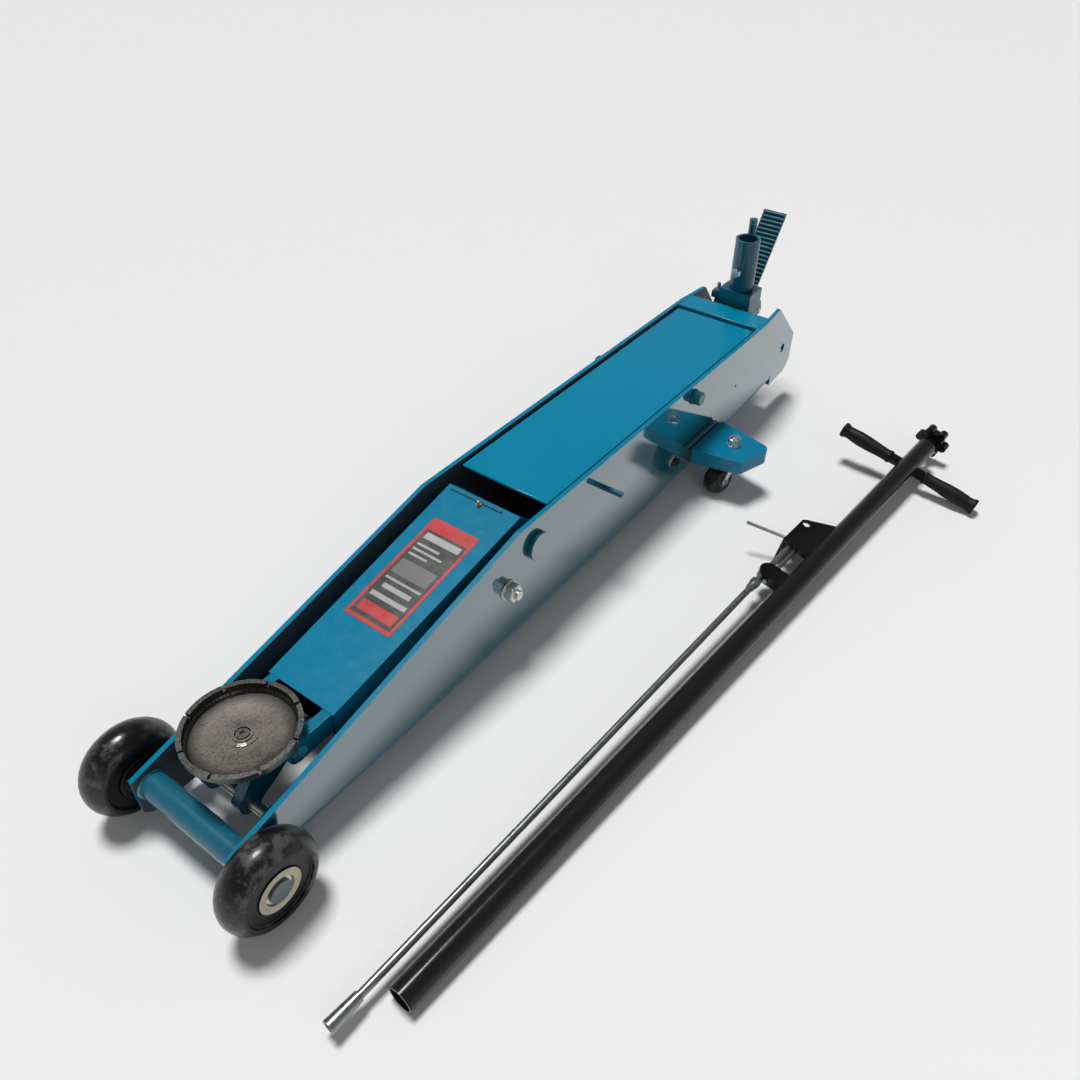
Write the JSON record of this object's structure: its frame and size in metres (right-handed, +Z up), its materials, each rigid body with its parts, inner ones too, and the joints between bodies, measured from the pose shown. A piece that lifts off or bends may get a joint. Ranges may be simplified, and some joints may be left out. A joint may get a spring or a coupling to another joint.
{
  "type": "trolley jack",
  "caption": "Long low hydraulic trolley jack with a round saddle, rear casters and its detached T-bar pump handle lying beside it.",
  "frame": {"origin": "middle of the footprint of the jack and its handle together, on the floor", "axes": "+X along the jack towards the saddle and front wheels, +Y to its left where the handle lies, +Z up"},
  "size_m": [1.634, 0.8166, 0.384],
  "materials": {
    "teal_paint": "gloss enamel",
    "dark_teal_paint": "gloss enamel, darker",
    "black_paint": "gloss black enamel",
    "axle_paint": "slate blue paint on the axle's ends",
    "black_plastic": "satin moulded plastic",
    "grip_rubber": "dark ribbed rubber",
    "black_wheel": "black, slightly mottled",
    "cream_bush": "pale cream bush",
    "cast_saddle": "bare dark cast steel",
    "brass": "satin",
    "label": "plain red-bordered dark label, no lettering",
    "dark_steel": "black oxide",
    "chromed_steel": "polished",
    "bright_steel": "bright zinc plated"
  },
  "bodies": {
    "chassis": {"left_side_plate": "teal_paint", "right_side_plate": "teal_paint", "left_lower_rail": "teal_paint", "right_lower_rail": "teal_paint", "front_crossbar": "teal_paint", "front_axle": "axle_paint", "axle_clips": "bright_steel", "top_cover": "teal_paint", "rear_cross_plate": "teal_paint", "cover_support_bar": "dark_teal_paint", "trunnion_bolts": "dark_teal_paint", "arm_pivot_shaft": "dark_teal_paint", "spring_anchor_rod": "dark_teal_paint", "return_springs": "bright_steel", "cylinder_end_plate": "dark_teal_paint", "end_plate_bolts": "dark_steel", "pressure_cylinder": "dark_teal_paint", "oil_reservoir": "dark_teal_paint", "pump_block": "dark_teal_paint", "left_caster_bracket": "teal_paint", "right_caster_bracket": "teal_paint", "left_caster_stud": "bright_steel", "right_caster_stud": "bright_steel", "link_bolts": "bright_steel"},
    "arm": {"lift_arm": "teal_paint", "lever_pin": "bright_steel", "head_pin": "bright_steel", "grease_nipple": "brass", "label_plate": "label"},
    "links": {"link_rods": "teal_paint", "link_cross_pin": "bright_steel"},
    "head": {"saddle_head": "dark_teal_paint"},
    "saddle_cup": {"saddle": "cast_saddle", "saddle_screw": "bright_steel"},
    "ram_piston": {"ram": "chromed_steel"},
    "left_front": {"left_front_wheel": "black_wheel", "left_wheel_bush": "cream_bush"},
    "right_front": {"right_front_wheel": "black_wheel", "right_wheel_bush": "cream_bush"},
    "left_swivel": {"left_caster_fork": "bright_steel"},
    "right_swivel": {"right_caster_fork": "bright_steel"},
    "left_rear": {"left_caster_wheel": "black_wheel"},
    "right_rear": {"right_caster_wheel": "black_wheel"},
    "yoke": {"handle_yoke": "dark_teal_paint", "yoke_pin": "bright_steel", "yoke_roller": "bright_steel", "socket_bolt": "bright_steel", "foot_pedal": "dark_teal_paint", "pedal_stay": "dark_teal_paint"},
    "plunger": {"pump_plunger": "bright_steel"},
    "valve_stem": {"release_stem": "bright_steel"},
    "valve_spindle": {"release_spindle": "bright_steel"},
    "handle": {"handle_tube": "black_paint", "cross_bar": "black_paint", "hand_grips": "grip_rubber", "rod_bracket": "black_paint", "guide_rod": "bright_steel"},
    "knob": {"knob_rod": "bright_steel", "star_knob": "black_plastic"},
    "key": {"release_key": "bright_steel"}
  },
  "joints": [
    {"name": "arm_lift", "type": "hinge", "parent": "chassis", "child": "arm", "pos_m": [0.157, -0.1813, 0.177], "axis": [0, -1, 0], "range_deg": [0, 55], "deforming": ["return_springs"]},
    {"name": "head_level", "type": "hinge", "parent": "arm", "child": "head", "pos_m": [0.617, -0.1813, 0.118], "axis": [0, -1, 0], "range_deg": [-55, 0]},
    {"name": "link_lift", "type": "hinge", "parent": "chassis", "child": "links", "pos_m": [0.23, -0.1813, 0.137], "axis": [0, -1, 0], "range_deg": [0, 55]},
    {"name": "saddle_turn", "type": "hinge", "parent": "head", "child": "saddle_cup", "pos_m": [0.652, -0.1813, 0.15], "axis": [0, 0, 1], "continuous": true},
    {"name": "ram_stroke", "type": "slide", "parent": "chassis", "child": "ram_piston", "axis": [1, 0, 0], "range_m": [0, 0.1017]},
    {"name": "left_front_roll", "type": "hinge", "parent": "chassis", "child": "left_front", "pos_m": [0.747, -0.0483, 0.07], "axis": [0, 1, 0], "continuous": true},
    {"name": "right_front_roll", "type": "hinge", "parent": "chassis", "child": "right_front", "pos_m": [0.747, -0.3143, 0.07], "axis": [0, 1, 0], "continuous": true},
    {"name": "left_caster_swivel", "type": "hinge", "parent": "chassis", "child": "left_swivel", "pos_m": [-0.383, -0.0143, 0.078], "axis": [0, 0, 1], "continuous": true},
    {"name": "right_caster_swivel", "type": "hinge", "parent": "chassis", "child": "right_swivel", "pos_m": [-0.383, -0.3483, 0.078], "axis": [0, 0, 1], "continuous": true},
    {"name": "left_caster_roll", "type": "hinge", "parent": "left_swivel", "child": "left_rear", "pos_m": [-0.34779, -0.02178, 0.029], "axis": [0.2079, 0.9781, 0], "continuous": true},
    {"name": "right_caster_roll", "type": "hinge", "parent": "right_swivel", "child": "right_rear", "pos_m": [-0.34779, -0.34081, 0.029], "axis": [-0.2079, 0.9781, 0], "continuous": true},
    {"name": "yoke_pump", "type": "hinge", "parent": "chassis", "child": "yoke", "pos_m": [-0.678, -0.1813, 0.195], "axis": [0, -1, 0], "range_deg": [0, 55], "stiffness_Nm_per_rad": 8},
    {"name": "plunger_stroke", "type": "slide", "parent": "chassis", "child": "plunger", "axis": [0, 0, -1], "range_m": [0, 0.0285]},
    {"name": "stem_turn", "type": "hinge", "parent": "yoke", "child": "valve_stem", "pos_m": [-0.678, -0.2283, 0.195], "axis": [0, 0, 1], "range_deg": [0, 180]},
    {"name": "spindle_turn", "type": "hinge", "parent": "chassis", "child": "valve_spindle", "pos_m": [-0.678, -0.2283, 0.195], "axis": [0, 0, 1], "range_deg": [0, 180]},
    {"name": "handle_lift_off", "type": "slide", "parent": "chassis", "child": "handle", "axis": [0, 0, 1], "range_m": [0, 0.3]},
    {"name": "knob_turn", "type": "hinge", "parent": "handle", "child": "knob", "pos_m": [-0.70048, 0.2732, 0.04387], "axis": [-0.9969, 0.0771, 0.0172], "continuous": true},
    {"name": "key_turn", "type": "hinge", "parent": "handle", "child": "key", "pos_m": [-0.15881, 0.18045, 0.04413], "axis": [0.9979, -0.0613, -0.0202], "range_deg": [0, 40]}
  ],
  "couplings": [
    {"joint": "head_level", "follows": "arm_lift", "ratio": -1},
    {"joint": "link_lift", "follows": "arm_lift", "ratio": 1},
    {"joint": "ram_stroke", "follows": "arm_lift", "m_per_rad": 0.1058},
    {"joint": "plunger_stroke", "follows": "yoke_pump", "m_per_rad": 0.02968},
    {"joint": "spindle_turn", "follows": "stem_turn", "ratio": 1}
  ]
}
